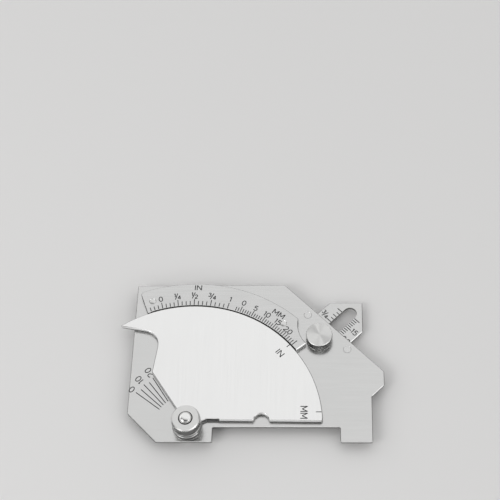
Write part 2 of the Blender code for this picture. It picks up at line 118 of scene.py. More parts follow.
def maths(tree, operation, *values, kind="ShaderNodeMath"):
    """The result of a maths node; each value is a number or another node's socket."""
    made = tree.nodes.new(kind)
    made.operation = operation
    for value, socket in zip(values, made.inputs):
        fill(tree, socket, value)
    return made.outputs[0]


world = bpy.data.worlds.new("pale_room")
scene.world = world
world.use_nodes = True
sky = world.node_tree
sky.nodes.clear()


def sky_ramp(value, reach, low, high):
    """A smooth change of the sky's strength over a reach of one part of a direction."""
    made = add(sky, "ShaderNodeMapRange", {"interpolation_type": "SMOOTHSTEP"}, Value=value,
               From_Min=reach[0], From_Max=reach[1], To_Min=low, To_Max=high)
    return made.outputs["Result"]


way = add(sky, "ShaderNodeTexCoord").outputs["Generated"]
turned_way = add(sky, "ShaderNodeVectorRotate", {"rotation_type": "Z_AXIS"}, Vector=way,
                 Angle=math.radians(SKY_TURN))
split = add(sky, "ShaderNodeSeparateXYZ", Vector=turned_way.outputs["Vector"])
back, up = split.outputs["Y"], split.outputs["Z"]
aside = maths(sky, "ABSOLUTE", add(sky, "ShaderNodeSeparateXYZ", Vector=way).outputs["X"])
plain_sky = sky_ramp(up, UP_FROM_FLOOR, SKY_LOW, sky_ramp(back, TO_BACK, SKY_FRONT, SKY_BACK))
band = sky_ramp(up, BAND_FOOT, 0.0, sky_ramp(up, BAND_TOP, SKY_BAND, 0.0))
gap = sky_ramp(up, GAP_TOP, sky_ramp(aside, GAP_SIDE, 0.0, 1.0), 1.0)
strength = maths(sky, "MULTIPLY_ADD", maths(sky, "MULTIPLY", band, gap),
                 sky_ramp(back, BAND_TO_BACK, 1.0, 0.0), plain_sky)
lit = add(sky, "ShaderNodeBackground", Color=WHITE, Strength=strength)
seen = add(sky, "ShaderNodeBackground", Color=WHITE, Strength=SKY_SEEN)
mix = add(sky, "ShaderNodeMixShader", Fac=add(sky, "ShaderNodeLightPath").outputs["Is Camera Ray"])
sky.links.new(lit.outputs["Background"], mix.inputs[1])
sky.links.new(seen.outputs["Background"], mix.inputs[2])
add(sky, "ShaderNodeOutputWorld", Surface=mix.outputs["Shader"])


def matt(name, colour, roughness):
    """A plain matt paint."""
    made = bpy.data.materials.new(name)
    made.use_nodes = True
    shader = made.node_tree.nodes["Principled BSDF"]
    shader.inputs["Base Color"].default_value = (*colour, 1.0)
    shader.inputs["Roughness"].default_value = roughness
    return made


FLOOR_SIZE = 3.0

mesh = bpy.data.meshes.new("floor")
half = FLOOR_SIZE / 2
corners = [(-half, -half, 0), (half, -half, 0), (half, half, 0), (-half, half, 0)]
mesh.from_pydata(corners, [], [(0, 1, 2, 3)])
floor = bpy.data.objects.new("floor", mesh)
floor.location.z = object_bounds()[0][2]
mesh.materials.append(matt("warm white floor", (0.76, 0.755, 0.75), 0.9))
scene.collection.objects.link(floor)

GAUGE_MIDDLE = Vector((25, 28, 4)) * MM
LAMP_PLACE = Vector((-0.72, -0.50, 0.78))
LAMP_SIZE = 0.5
LAMP_WATTS = 3.4

lamp = bpy.data.objects.new("left_lamp", bpy.data.lights.new("left_lamp", "AREA"))
lamp.data.size = LAMP_SIZE
lamp.data.energy = LAMP_WATTS
lamp.location = LAMP_PLACE
lamp.rotation_euler = (GAUGE_MIDDLE - LAMP_PLACE).to_track_quat("-Z", "Y").to_euler()
scene.collection.objects.link(lamp)


# Pivot screw
# A headed screw of bright turned steel. It comes through the body from the rear and carries the
# cam, the washers and the thumb nut; its rounded end stands out of the nut.

TURNED_SHARP = 28.0
GRAIN_DEPTH = 0.02 * MM
RING_TONES = (0.3, 0.7)

node_box = {name: (Vector(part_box(name)[0]), Vector(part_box(name)[1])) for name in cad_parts}


def middle(name):
    """The centre of a CAD node in the gauge's plane."""
    low, high = node_box[name]
    return Vector(((low.x + high.x) / 2, (low.y + high.y) / 2))


def turned(name, profile, centre, steps=96, ring=False):
    """A turned piece about an upright axis. The profile is a list of (radius, height), from the
    axis to the axis, or round the section of a ring."""
    bm = bmesh.new()
    rows = []
    for radius, height in profile:
        if radius == 0.0:
            rows.append([bm.verts.new((centre.x, centre.y, height))] * steps)
            continue
        rows.append([bm.verts.new((centre.x + radius * math.cos(math.tau * i / steps),
                                   centre.y + radius * math.sin(math.tau * i / steps), height))
                     for i in range(steps)])
    pairs = list(zip(rows, rows[1:])) + ([(rows[-1], rows[0])] if ring else [])
    for low, high in pairs:
        for i in range(steps):
            k = (i + 1) % steps
            quad = (low[i], low[k], high[k], high[i])
            bm.faces.new([v for n, v in enumerate(quad) if v not in quad[:n]])
    bmesh.ops.recalc_face_normals(bm, faces=bm.faces)
    return as_object(name, bm, TURNED_SHARP)


def smoothed(mesh, angle):
    """Smooth shading, except where faces meet at more than the angle."""
    mesh.shade_smooth()
    mesh.set_sharp_from_angle(angle=math.radians(angle))


def as_object(name, bm, angle):
    """A mesh object at the origin, smooth except where faces meet at more than the angle."""
    mesh = bpy.data.meshes.new(name)
    bm.to_mesh(mesh)
    bm.free()
    smoothed(mesh, angle)
    made = bpy.data.objects.new(name, mesh)
    scene.collection.objects.link(made)
    return made


def bow(radius, height, size, start, end, count=6):
    """Points of a profile round an arc of one size, from one angle to another in degrees."""
    angles = [math.radians(start + (end - start) * i / count) for i in range(count + 1)]
    return [(radius + size * math.cos(a), height + size * math.sin(a)) for a in angles]


def finish_group(name, *extra):
    """A shader node group for one finish of steel, with its sockets and its input node."""
    tree = bpy.data.node_groups.new(name, "ShaderNodeTree")
    tree.interface.new_socket("Vector", in_out="INPUT", socket_type="NodeSocketVector")
    for label in ("Roughness", "Spread", "Depth") + extra:
        tree.interface.new_socket(label, in_out="INPUT", socket_type="NodeSocketFloat")
    for label, kind in (("Tone", "Float"), ("Roughness", "Float"), ("Normal", "Vector")):
        tree.interface.new_socket(label, in_out="OUTPUT", socket_type="NodeSocket" + kind)
    return tree, tree.nodes.new("NodeGroupInput")


def give_finish(tree, take, tone, tones, height):
    """Ends a finish group: the roughness follows the tone, and the height makes the scratches."""
    low = maths(tree, "SUBTRACT", take.outputs["Roughness"], take.outputs["Spread"])
    high = maths(tree, "ADD", take.outputs["Roughness"], take.outputs["Spread"])
    rough = add(tree, "ShaderNodeMapRange", Value=tone, From_Min=tones[0], From_Max=tones[1],
                To_Min=low, To_Max=high)
    bump = add(tree, "ShaderNodeBump", Height=height, Distance=GRAIN_DEPTH, Strength=take.outputs["Depth"])
    add(tree, "NodeGroupOutput", Tone=tone, Roughness=rough.outputs["Result"], Normal=bump.outputs["Normal"])
    return tree


def lathe_group():
    """Rings that a lathe tool leaves round an upright axis."""
    tree, take = finish_group("lathe rings", "Rings per mm")
    split = add(tree, "ShaderNodeSeparateXYZ", Vector=take.outputs["Vector"])
    flat = add(tree, "ShaderNodeCombineXYZ", X=split.outputs["X"], Y=split.outputs["Y"])
    radius = add(tree, "ShaderNodeVectorMath", {"operation": "LENGTH"}, Vector=flat.outputs["Vector"])
    axial = maths(tree, "ADD", radius.outputs["Value"], split.outputs["Z"])
    count = maths(tree, "MULTIPLY", axial, maths(tree, "MULTIPLY", take.outputs["Rings per mm"], 1.0 / MM))
    rings = add(tree, "ShaderNodeTexNoise", {"noise_dimensions": "1D"}, W=count, Scale=1.0, Detail=3.0)
    return give_finish(tree, take, rings.outputs["Fac"], RING_TONES, rings.outputs["Fac"])


lathe_rings = lathe_group()


def mixed(tree, factor, low, high):
    """A colour between two, by a factor; each is a value or another node's socket."""
    blend = add(tree, "ShaderNodeMix", {"data_type": "RGBA"}, Factor=factor)
    ends = [s for s in blend.inputs if s.enabled and s.type == "RGBA"]
    for socket, colour in zip(ends, (low, high)):
        fill(tree, socket, colour if isinstance(colour, bpy.types.NodeSocket) else (*colour, 1.0))
    return next(s for s in blend.outputs if s.enabled)


def grained_steel(name, dark, light, effect, place, **values):
    """Steel in one finish, set on its piece by a Mapping node. Without its two tones it is left
    for another function to colour."""
    made = bpy.data.materials.new(name)
    made.use_nodes = True
    tree = made.node_tree
    shader = tree.nodes["Principled BSDF"]
    shader.inputs["Metallic"].default_value = 1.0
    where = add(tree, "ShaderNodeTexCoord")
    on_piece = add(tree, "ShaderNodeMapping", Vector=where.outputs["Object"], **place)
    grain = add(tree, "ShaderNodeGroup", {"node_tree": effect}, Vector=on_piece.outputs["Vector"], **values)
    if dark:
        tree.links.new(mixed(tree, grain.outputs["Tone"], dark, light), shader.inputs["Base Color"])
    for label in ("Roughness", "Normal"):
        tree.links.new(grain.outputs[label], shader.inputs[label])
    return made


def turned_steel(name, dark, light, centre, roughness, spread=0.08, per_mm=8.0, depth=0.25):
    """Steel off a lathe: fine rings round the piece's own axis."""
    return grained_steel(name, dark, light, lathe_rings, {"Location": (-centre.x, -centre.y, 0.0)},
                         Rings_per_mm=per_mm, Roughness=roughness, Spread=spread, Depth=depth)


PIVOT_EDGE = 0.2 * MM
PIVOT_THREAD = 2.5 * MM
CAP_SINK = 0.35 * MM
CAP_POWER = 0.77
CAP_STEPS = 20
WALL_TILT = 0.1

low, high = node_box["pivot_screw"]
pivot = middle("pivot_screw")
head_radius = (high.x - low.x) / 2
nut_top = node_box["thumb_nut"][1].z
shoulder = node_box["guide_bridge"][1].z
profile = [(0.0, low.z)]
profile += bow(head_radius - PIVOT_EDGE, low.z + PIVOT_EDGE, PIVOT_EDGE, -90, 0, 4)
profile += bow(head_radius - PIVOT_EDGE, shoulder - PIVOT_EDGE, PIVOT_EDGE, 0, 90, 4)
cap_bottom = nut_top - CAP_SINK
profile += [(PIVOT_THREAD, shoulder), (PIVOT_THREAD, cap_bottom)]
for i in range(1, CAP_STEPS):
    quarter = math.tau / 4 * i / CAP_STEPS
    out, rise = math.cos(quarter) ** CAP_POWER, math.sin(quarter) ** CAP_POWER
    profile.append((PIVOT_THREAD * out, cap_bottom + (high.z - cap_bottom) * rise))
profile.append((0.0, high.z))
pivot_screw = turned("pivot_screw_bright", profile, pivot)
pivot_screw.data.materials.append(
    turned_steel("polished screw steel", (0.74, 0.74, 0.73), (0.84, 0.84, 0.83), pivot, 0.16, spread=0.04))
# The shank's wall between the bridge and the nut's cap is painted near black: painted shade in the gap round
# the thread.
pivot_screw.data.materials.append(matt("thread in painted shade", (0.02, 0.02, 0.02), 0.5))
for face in pivot_screw.data.polygons:
    if abs(face.normal.z) < WALL_TILT and shoulder < face.center.z < cap_bottom:
        face.material_index = 1
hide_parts("pivot_screw")
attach(pivot_screw, "gauge_body")


# Body plate
# The flat stainless sheet that everything else is fixed to, ground to a satin face with its edges
# broken. A fan of lines for angles is engraved under the cam's straight edge and filled in black.

GRAIN_SCALE = (60.0, 2400.0, 2400.0)
CLOUD_SCALE = 45.0
CLOUD_SHARE = 0.6
GRAIN_TONES = (0.5, 1.1)


def rolled_group():
    """Fine scratches along one direction with a slow change of tone over the sheet."""
    tree, take = finish_group("ground sheet")
    place = take.outputs["Vector"]
    drawn = add(tree, "ShaderNodeMapping", Vector=place, Scale=GRAIN_SCALE)
    grain = add(tree, "ShaderNodeTexNoise", Vector=drawn.outputs["Vector"], Scale=1.0, Detail=4.0)
    cloud = add(tree, "ShaderNodeTexNoise", Vector=place, Scale=CLOUD_SCALE, Detail=2.0)
    blend = maths(tree, "MULTIPLY_ADD", cloud.outputs["Fac"], CLOUD_SHARE, grain.outputs["Fac"])
    tone = add(tree, "ShaderNodeMapRange", Value=blend, From_Min=GRAIN_TONES[0], From_Max=GRAIN_TONES[1])
    return give_finish(tree, take, tone.outputs["Result"], (0.0, 1.0), grain.outputs["Fac"])


ground_sheet = rolled_group()


def sheet_steel(name, dark, light, roughness, turn=0.0, spread=0.08, depth=0.2):
    """Ground stainless sheet, its grain turned by an angle in degrees."""
    return grained_steel(name, dark, light, ground_sheet, {"Rotation": (0.0, 0.0, math.radians(turn))},
                         Roughness=roughness, Spread=spread, Depth=depth)


# How the faces, broken edges and sides of a plate are told apart
EDGE_BREAK = 0.3 * MM
LONG_FLAT = 4.0 * MM
FLAT_WITHIN = math.radians(0.5)
FLAT_BEND = math.radians(35.0)
WALL_BEND = math.radians(60.0)
FACE_LEVEL = 0.995
EDGE_LEVEL = 0.25
PLATE_SHARP = 32.0
MERGE = 0.001 * MM


def finished(node, name, face_steel, edge_steel, side_steel, body, buff=0.0):
    """A piece from its CAD solid, with its faces, broken edges and sides in their own finishes.
    Buffing takes the corners off its broken edges."""
    bm = bmesh.new()
    bm.from_mesh(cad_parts[node].data)
    bmesh.ops.remove_doubles(bm, verts=bm.verts, dist=MERGE)
    if buff:
        bmesh.ops.dissolve_limit(bm, angle_limit=FLAT_WITHIN, verts=bm.verts, edges=bm.edges)
        top = max(v.co.z for v in bm.verts)
        corners = [e for e in bm.edges if e.is_manifold and FLAT_BEND < e.calc_face_angle() < WALL_BEND
                   and max(v.co.z for v in e.verts) > top - EDGE_BREAK
                   and abs(e.verts[0].co.z - e.verts[1].co.z) < MERGE]
        bmesh.ops.bevel(bm, geom=corners, offset=buff, segments=2, profile=0.5, affect="EDGES",
                        clamp_overlap=True)
        bmesh.ops.triangulate(bm, faces=bm.faces)
    bm.normal_update()
    for face in bm.faces:
        level = abs(face.normal.z)
        face.material_index = 0 if level > FACE_LEVEL else 1 if level > EDGE_LEVEL else 2
    made = as_object(name, bm, PLATE_SHARP)
    spots = made.data.vertices
    for face in made.data.polygons:
        longest = max((spots[a].co - spots[b].co).length for a, b in face.edge_keys)
        if face.material_index == 0 or longest > LONG_FLAT:
            face.use_smooth = False
    for steel in (face_steel, edge_steel, side_steel):
        made.data.materials.append(steel)
    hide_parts(node)
    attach(made, body)
    return made


# How far edges and sides have to face the feet before they get painted light, and the level between a side's
# painted shadow below and its painted highlight above
EDGE_FACING = (0.27, 0.42)
SIDE_FACING = (0.40, 0.58)
SHADOW_LEVEL = 5.2 * MM
SHADOW_BLUR = 0.05 * MM


def foot_side(tree, facing):
    """How far a surface faces the side of the feet, from 0 to 1: the mask of the painted light and shade on
    edges and sides.
    """
    where = add(tree, "ShaderNodeTexCoord")
    split = add(tree, "ShaderNodeSeparateXYZ", Vector=where.outputs["Normal"])
    turned_there = add(tree, "ShaderNodeMapRange", {"interpolation_type": "SMOOTHSTEP"},
                       Value=split.outputs["Y"], From_Min=-facing[0], From_Max=-facing[1])
    return turned_there.outputs["Result"]


def coloured(made, factor, low, high):
    """The steel, in a colour between two by a factor."""
    tree = made.node_tree
    tree.links.new(mixed(tree, factor, low, high), tree.nodes["Principled BSDF"].inputs["Base Color"])
    return made


def blanked_side(name, plain, painted_light, painted_shadow):
    """A plate's side with painted light and shade: where it faces the feet it is painted dark below a level,
    a painted shadow, and painted bright above it, a painted highlight."""
    made = sheet_steel(name, None, None, 0.34, spread=0.03, depth=0.0)
    tree = made.node_tree
    where = add(tree, "ShaderNodeTexCoord")
    split = add(tree, "ShaderNodeSeparateXYZ", Vector=where.outputs["Object"])
    upper = add(tree, "ShaderNodeMapRange", Value=split.outputs["Z"],
                From_Min=SHADOW_LEVEL - SHADOW_BLUR, From_Max=SHADOW_LEVEL + SHADOW_BLUR).outputs["Result"]
    front = foot_side(tree, SIDE_FACING)
    # In the painted highlight the steel stops being metal, so that its pale colour shows bright.
    dull = maths(tree, "SUBTRACT", 1.0, maths(tree, "MULTIPLY", front, upper))
    tree.links.new(dull, tree.nodes["Principled BSDF"].inputs["Metallic"])
    return coloured(made, front, plain, mixed(tree, upper, painted_shadow, painted_light))


def in_ring(made, inner, outer, steel, first=1):
    """Gives a finish to the edges and sides of a piece that lie in a ring round the pivot; from
    the second finish on, to the sides alone."""
    made.data.materials.append(steel)
    for face in made.data.polygons:
        if first <= face.material_index < 3 and inner < face.center.xy.length < outer:
            face.material_index = len(made.data.materials) - 1


body_steel = sheet_steel("satin body sheet", (0.585, 0.585, 0.58), (0.62, 0.62, 0.615), 0.22,
                         spread=0.02, depth=0.03)
# Broken edges that face the feet are painted bright, a painted highlight; those that face elsewhere are
# painted dark, a painted shade.
edge_steel = sheet_steel("broken edge", None, None, 0.18, spread=0.03, depth=0.05)
coloured(edge_steel, foot_side(edge_steel.node_tree, EDGE_FACING), (0.22, 0.22, 0.215), (0.80, 0.80, 0.795))
# Painted shade: the walls at the gap between the cam's rim and the scale plate are painted dark.
gap_shade_steel = sheet_steel("rim side in painted shade", (0.20, 0.20, 0.195), (0.24, 0.24, 0.235), 0.36, spread=0.03, depth=0.0)
side_steel = sheet_steel("blanked side", (0.26, 0.26, 0.255), (0.32, 0.32, 0.315), 0.28,
                         spread=0.03, depth=0.05)
# Thick plates' sides: painted shadow low down and a painted highlight high up where they face the feet; plain
# steel elsewhere.
thick_side = blanked_side("thick side with painted light and shadow", (0.28, 0.28, 0.275), (0.94, 0.94, 0.93), (0.03, 0.03, 0.03))
finished("body_plate", "body_plate_satin", body_steel, edge_steel, side_steel, "gauge_body")


def loop(x, y, across, up, start, end, count=8):
    """Points round an oval arc, from one angle to another in degrees."""
    angles = [math.radians(start + (end - start) * i / count) for i in range(count + 1)]
    return [(x + across * math.cos(a), y + up * math.sin(a)) for a in angles]


# Letters and figures for an engraving pen, one unit high: a width, and strokes through points
LETTERS = {
    "0": (0.60, [loop(0.30, 0.5, 0.30, 0.5, 90, 450, 16)]),
    "1": (0.18, [[(0.0, 0.84), (0.18, 1.0), (0.18, 0.0)]]),
    "2": (0.58, [loop(0.29, 0.71, 0.28, 0.29, 165, -35) + [(0.0, 0.0), (0.58, 0.0)]]),
    "3": (0.56, [loop(0.27, 0.76, 0.25, 0.24, 150, -90) + loop(0.27, 0.27, 0.29, 0.27, 70, -150)]),
    "4": (0.62, [[(0.45, 0.0), (0.45, 1.0), (0.0, 0.3), (0.62, 0.3)]]),
    "5": (0.58, [[(0.54, 1.0), (0.10, 1.0), (0.05, 0.56)] + loop(0.28, 0.32, 0.30, 0.32, 120, -150)]),
    "6": (0.58, [loop(0.36, 0.36, 0.36, 0.64, 80, 180) + loop(0.29, 0.31, 0.29, 0.31, 180, 540, 12)]),
    "I": (0.0, [[(0.0, 0.0), (0.0, 1.0)]]),
    "N": (0.68, [[(0.0, 0.0), (0.0, 1.0), (0.68, 0.0), (0.68, 1.0)]]),
    "M": (0.80, [[(0.0, 0.0), (0.0, 1.0), (0.40, 0.25), (0.80, 1.0), (0.80, 0.0)]]),
}
LETTER_GAP = 0.34
LETTER_STRETCH = 1.15

# The small figures of a fraction, and the run of the bar between them
OVER_SIZE = 0.58
OVER_RISE = 0.42
UNDER_SIZE = 0.60
BAR_RUN = 0.36
BAR_LAP = 0.02

LINE_PEN = 0.35 * MM
LETTER_PEN = 0.38 * MM


def run_of(text, size=1.0, rise=0.0, start=0.0):
    """The strokes of a run of characters, and where it ends."""
    strokes = []
    for letter in text:
        width, shapes = LETTERS[letter]
        strokes += [[(start + x * size * LETTER_STRETCH, rise + y * size) for x, y in shape]
                    for shape in shapes]
        start += (width * LETTER_STRETCH + LETTER_GAP) * size
    return strokes, start - LETTER_GAP * size


def lettering(text, centre, turn, height, squeeze=1.0):
    """Pen strokes for a label about its centre, read along a direction in degrees. A fraction
    stands as small figures on each side of its bar."""
    whole, _, part = text.rpartition(" ") if "/" in text else (text, "", "")
    strokes, reach = run_of(whole) if whole else ([], -LETTER_GAP)
    if part:
        over, under = part.split("/")
        upper, reach = run_of(over, OVER_SIZE, OVER_RISE, reach + LETTER_GAP)
        lower, end = run_of(under, UNDER_SIZE, 0.0, reach + BAR_RUN)
        bar = [(reach - BAR_LAP, 0.0), (reach + BAR_RUN + BAR_LAP, 1.0)]
        strokes += upper + lower + [bar]
        reach = end
    spin = Matrix.Rotation(math.radians(turn), 2)
    return [(LETTER_PEN, [Vector(centre) + spin @ (Vector(((x - reach / 2) * squeeze, y - 0.5)) * height)
                          for x, y in points]) for points in strokes]


def polar(radius, degrees):
    """A point in the gauge's plane, from the pivot."""
    angle = math.radians(degrees)
    return Vector((radius * math.cos(angle), radius * math.sin(angle)))


def spoke(inner, outer, degrees):
    """A straight pen stroke out from the pivot."""
    return (LINE_PEN, [polar(inner, degrees), polar(outer, degrees)])


def with_tree(made, tree, values, angle):
    """The object with a node tree's result as its plain mesh."""
    modifier = made.modifiers.new(tree.name, "NODES")
    modifier.node_group = tree
    for item in tree.interface.items_tree:
        if item.item_type == "SOCKET" and item.in_out == "INPUT" and item.name in values:
            modifier[item.identifier] = values[item.name]
    bpy.context.view_layer.update()
    depsgraph = bpy.context.evaluated_depsgraph_get()
    result = bpy.data.meshes.new_from_object(made.evaluated_get(depsgraph))
    made.modifiers.remove(modifier)
    made.data = result
    smoothed(result, angle)
    return made


def new_tree(name, inputs, output):
    """A new Geometry Nodes tree with its sockets, and its input node."""
    tree = bpy.data.node_groups.new(name, "GeometryNodeTree")
    for label, kind in inputs:
        tree.interface.new_socket(label, in_out="INPUT", socket_type="NodeSocket" + kind)
    tree.interface.new_socket(output, in_out="OUTPUT", socket_type="NodeSocketGeometry")
    return tree, tree.nodes.new("NodeGroupInput")


def end_tree(tree, geometry, material):
    """Ends a tree: what it made is made real and gets its material."""
    real = add(tree, "GeometryNodeRealizeInstances", Geometry=geometry)
    coat = add(tree, "GeometryNodeSetMaterial", Geometry=real.outputs["Geometry"], Material=material)
    give = tree.nodes.new("NodeGroupOutput")
    tree.links.new(coat.outputs["Geometry"], give.inputs[0])
    return tree


def pen_tree():
    """Fills pen strokes: a flat bead of ink along each, as wide as its points say."""
    tree, take = new_tree("filled pen strokes", [("Strokes", "Geometry"), ("Flatness", "Float"),
                                                 ("Ink", "Material")], "Filled")
    paths = add(tree, "GeometryNodeMeshToCurve", Mesh=take.outputs["Strokes"])
    upright = add(tree, "GeometryNodeSetCurveNormal", {"mode": "Z_UP"}, Curve=paths.outputs["Curve"])
    bead = add(tree, "GeometryNodeCurvePrimitiveCircle", Resolution=BEAD_SIDES, Radius=0.5)
    shape = add(tree, "ShaderNodeCombineXYZ", X=1.0, Y=take.outputs["Flatness"], Z=1.0)
    flat = add(tree, "GeometryNodeTransform", Geometry=bead.outputs["Curve"], Scale=shape.outputs["Vector"])
    pen = add(tree, "GeometryNodeInputNamedAttribute", {"data_type": "FLOAT"}, Name="pen")
    sweep = add(tree, "GeometryNodeCurveToMesh", Curve=upright.outputs["Curve"],
                Profile_Curve=flat.outputs["Geometry"], Scale=pen.outputs["Attribute"], Fill_Caps=True)
    return end_tree(tree, sweep.outputs["Mesh"], take.outputs["Ink"])


BEAD_SIDES = 8
INK_FLATNESS = 0.12
INK_SHARP = 60.0
SHARP_TURN = math.radians(40.0)

pen_strokes = pen_tree()
black_ink = matt("black engraving fill", (0.018, 0.018, 0.02), 0.55)


def unbent(points):
    """The parts of a stroke between its sharp corners."""
    parts = [[points[0]]]
    for i in range(1, len(points)):
        parts[-1].append(points[i])
        if i < len(points) - 1:
            turn = (points[i] - points[i - 1]).angle(points[i + 1] - points[i])
            if turn > SHARP_TURN:
                parts.append([points[i]])
    return parts


def engraved(name, strokes, height, body):
    """Filled engraving on one face: a single mesh from all its pen strokes."""
    spots, edges, pens = [], [], []
    for pen, points in [(pen, part) for pen, points in strokes for part in unbent(points)]:
        first, closed = len(spots), (points[0] - points[-1]).length < MERGE
        points = points[:-1] if closed else points
        spots += [(p.x, p.y, height) for p in points]
        pens += [pen] * len(points)
        edges += [(first + i, first + i + 1) for i in range(len(points) - 1)]
        if closed:
            edges.append((len(spots) - 1, first))
    mesh = bpy.data.meshes.new(name)
    mesh.from_pydata(spots, edges, [])
    mesh.attributes.new("pen", "FLOAT", "POINT").data.foreach_set("value", pens)
    made = bpy.data.objects.new(name, mesh)
    scene.collection.objects.link(made)
    with_tree(made, pen_strokes, {"Flatness": INK_FLATNESS, "Ink": black_ink}, INK_SHARP)
    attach(made, body)
    return made


FAN_LAST = 60
FAN_ZERO = 143.5
FAN_OFFSET = 0.95 * MM
FAN_INNER = 13.55 * MM
FAN_TENS = 25.8 * MM
FAN_FIVES = 25.0 * MM
FAN_LABEL = 28.6 * MM
FAN_NOUGHT_BACK = 0.6 * MM
FAN_FIGURES = 2.5 * MM
FAN_SQUEEZE = 0.92

strokes = []
for reading in range(0, FAN_LAST + 1, 5):
    way = FAN_ZERO - reading
    aside = polar(FAN_OFFSET, way + 90.0)
    outer = FAN_TENS if reading % 10 == 0 else FAN_FIVES
    strokes.append((LINE_PEN, [aside + polar(FAN_INNER, way), aside + polar(outer, way)]))
    if reading % 10 == 0:
        place = FAN_LABEL if reading else FAN_LABEL - FAN_NOUGHT_BACK
        strokes += lettering(str(reading), aside + polar(place, way), way, FAN_FIGURES, FAN_SQUEEZE)
body_face = node_box["body_plate"][1].z
engraved("bevel_angle_fan", strokes, body_face, "gauge_body")


# Bridge, throat pointer and guide rivets
# A milled block behind the slanted edge, held by two flush rivets, guides a slotted bar that slides
# out past the edge. The bar's point is a right angle, and its face is graduated on both sides.

pointer_steel = sheet_steel("satin pointer sheet", (0.58, 0.58, 0.575), (0.63, 0.63, 0.625), 0.24,
                            turn=45.0, spread=0.02, depth=0.03)
bridge_steel = sheet_steel("milled bridge steel", (0.45, 0.45, 0.445), (0.55, 0.55, 0.545), 0.42,
                           turn=-45.0)
finished("guide_bridge", "guide_bridge_milled", bridge_steel, bridge_steel, bridge_steel, "gauge_body")
finished("throat_pointer", "throat_pointer_satin", pointer_steel, edge_steel, side_steel, "pointer")
for node in ("guide_rivet_upper", "guide_rivet_lower"):
    rivet_steel = turned_steel(node + " steel", (0.58, 0.58, 0.575), (0.66, 0.66, 0.655), middle(node), 0.25)
    finished(node, node + "_bright", rivet_steel, rivet_steel, rivet_steel, "gauge_body")

INCH = 25.4 * MM
FIGURES = 2.1 * MM
FRACTIONS = 2.8 * MM
BAR_PEN = 0.36 * MM
POINTER_OFFSET = 9.15 * MM

# Along the pointer: the readings in millimetres and sixteenths, where both scales start, and how
# far a label leads its line
THROAT_MM = range(10, 41)
THROAT_SIXTEENTHS = range(8, 26)
POINTER_METRIC = 90.3 * MM
POINTER_INCH = 91.6 * MM
LABEL_LEAD = 0.45 * MM

# Across the pointer, on each side of its centre line
SLOT_SIDE = 2.85 * MM
METRIC_ENDS = (5.7 * MM, 4.85 * MM)
METRIC_LABEL = 7.2 * MM
INCH_ENDS = (5.3 * MM, 4.7 * MM, 4.3 * MM)
INCH_LABEL = 7.0 * MM


def on_pointer(along, across):
    """A point in the gauge's plane, from distances along and across the pointer's centre line."""
    half = math.sqrt(0.5)
    side = POINTER_OFFSET + across
    return Vector(((along + side) * half, (along - side) * half))


strokes = []
for reading in THROAT_MM:
    along = POINTER_METRIC - reading * MM
    end = METRIC_ENDS[0 if reading % 5 == 0 else 1]
    strokes.append((BAR_PEN, [on_pointer(along, SLOT_SIDE), on_pointer(along, end)]))
    if reading % 5 == 0 and reading > 10:
        strokes += lettering(str(reading), on_pointer(along + LABEL_LEAD, METRIC_LABEL), -45.0, FIGURES)
for step in THROAT_SIXTEENTHS:
    along = POINTER_INCH - step * INCH / 16
    end = INCH_ENDS[0 if step % 4 == 0 else 1 if step % 2 == 0 else 2]
    strokes.append((BAR_PEN, [on_pointer(along, -SLOT_SIDE), on_pointer(along, -end)]))
for label, step in (("3/4", 12), ("1", 16), ("1 1/4", 20), ("1 1/2", 24)):
    along = POINTER_INCH - step * INCH / 16
    strokes += lettering(label, on_pointer(along + 2 * LABEL_LEAD, -INCH_LABEL), -45.0, FRACTIONS)
pointer_face = node_box["throat_pointer"][1].z
engraved("throat_scale", strokes, pointer_face, "pointer")


# Clamp screw
# A low round head with a spun face and a diamond knurl, on a shank that passes the body and the
# pointer's slot and screws into the bridge.

KNURL_TEETH = 42
KNURL_DEPTH = 0.30 * MM
KNURL_ROW = 0.66 * MM
KNURL_FLAT = 0.03 * MM
KNURL_TILT = 0.62
SPUN_FACE = 0.95
RIM_CHAMFER = 0.4 * MM


def knurl_tree():
    """Cuts a turned blank with a lattice of pyramids, whose tips its wall then levels."""
    tree, take = new_tree("diamond knurl", [
        ("Blank", "Geometry"), ("Teeth", "Int"), ("Rows", "Int"), ("Radius", "Float"), ("Depth", "Float"),
        ("Height", "Float"), ("Centre", "Vector"), ("Steel", "Material")], "Knurled")
    around = maths(tree, "MULTIPLY", take.outputs["Teeth"], 2.0)
    tube = add(tree, "GeometryNodeMeshCylinder", {"fill_type": "NGON"}, Vertices=around,
               Side_Segments=take.outputs["Rows"], Radius=take.outputs["Radius"],
               Depth=take.outputs["Height"])
    index = add(tree, "GeometryNodeInputIndex").outputs[0]
    row = maths(tree, "FLOOR", maths(tree, "DIVIDE", index, around))
    odd = maths(tree, "MODULO", maths(tree, "ADD", index, row), 2.0)
    place = add(tree, "GeometryNodeInputPosition").outputs[0]
    level = maths(tree, "MULTIPLY", place, (1.0, 1.0, 0.0), kind="ShaderNodeVectorMath")
    out_way = maths(tree, "NORMALIZE", level, kind="ShaderNodeVectorMath")
    cut = maths(tree, "MULTIPLY", maths(tree, "MULTIPLY", odd, take.outputs["Depth"]), -1.0)
    scale = add(tree, "ShaderNodeVectorMath", {"operation": "SCALE"}, Vector=out_way, Scale=cut)
    pressed = add(tree, "GeometryNodeSetPosition", Geometry=tube.outputs["Mesh"],
                  Offset=scale.outputs["Vector"])
    facets = add(tree, "GeometryNodeTriangulate", Mesh=pressed.outputs["Geometry"])
    moved = add(tree, "GeometryNodeTransform", Geometry=facets.outputs["Mesh"],
                Translation=take.outputs["Centre"])
    meet = add(tree, "GeometryNodeMeshBoolean", {"operation": "INTERSECT", "solver": "EXACT"})
    for shape in (take.outputs["Blank"], moved.outputs["Geometry"]):
        tree.links.new(shape, meet.inputs["Mesh 2"])
    return end_tree(tree, meet.outputs["Mesh"], take.outputs["Steel"])


knurl = knurl_tree()


